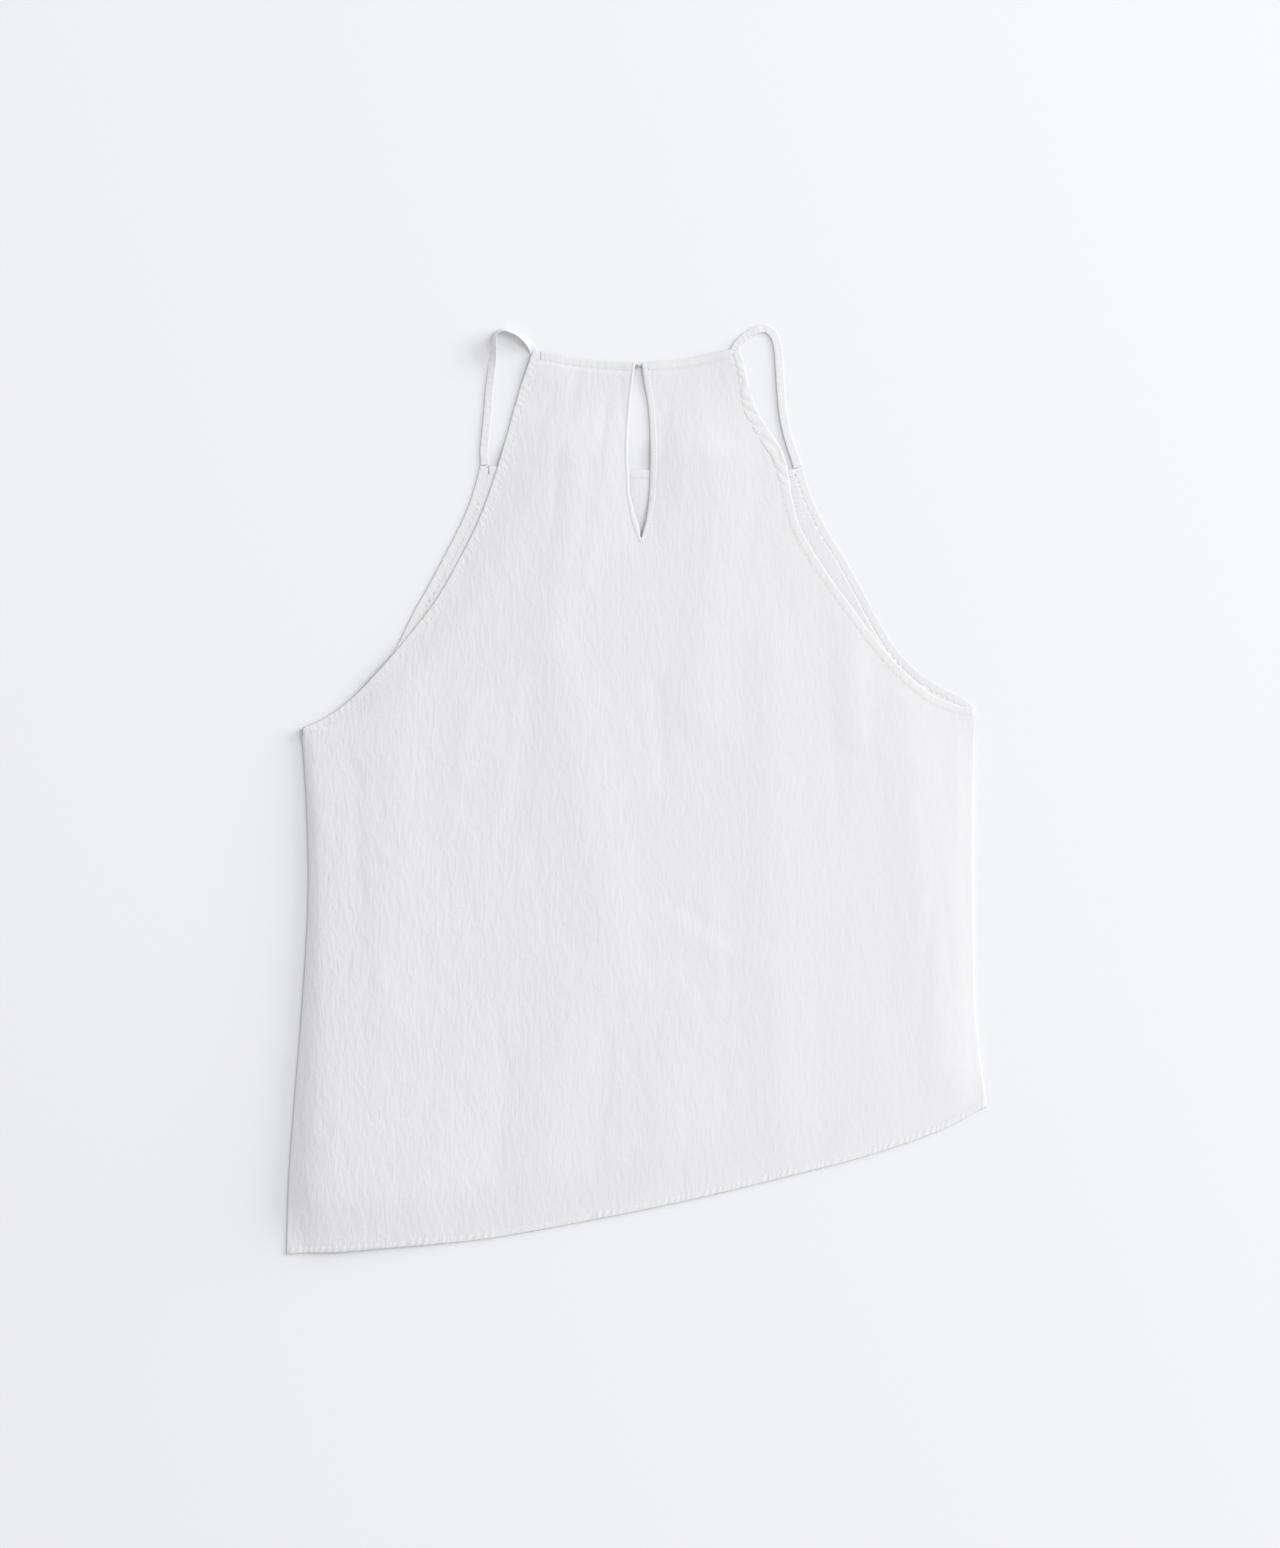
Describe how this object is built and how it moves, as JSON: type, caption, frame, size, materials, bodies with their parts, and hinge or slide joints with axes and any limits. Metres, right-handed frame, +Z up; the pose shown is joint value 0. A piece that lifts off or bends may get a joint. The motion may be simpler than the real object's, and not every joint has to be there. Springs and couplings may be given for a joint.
{
  "type": "sleeveless halter-neck top",
  "caption": "Sleeveless linen top laid flat with its back up: deep armholes, thin straps, keyhole back with hook and eye, slanting hem",
  "frame": {"origin": "middle of the whole top's outline, on the surface it lies on", "axes": "+Z up from the surface, +Y from the hem to the neck and straps, +X to the right with the back facing up"},
  "size_m": [0.4905, 0.6529, 0.0093],
  "materials": {
    "linen": "white plain-weave linen, soft crinkle, matt",
    "bias": "the same linen cut on the bias, folded and topstitched, slightly puckered",
    "wire": "pale nickel-plated round wire"
  },
  "bodies": {
    "root": {"back_panel": "linen", "front_panel": "linen", "back_neck_binding_left": "bias", "back_neck_binding_right": "bias", "front_neck_binding": "bias", "back_armhole_binding_left": "bias", "back_armhole_binding_right": "bias", "front_armhole_binding_left": "bias", "front_armhole_binding_right": "bias", "keyhole_binding": "bias", "strap_left": "bias", "strap_right": "bias", "neck_hook": "wire", "neck_eye": "wire"}
  },
  "joints": []
}
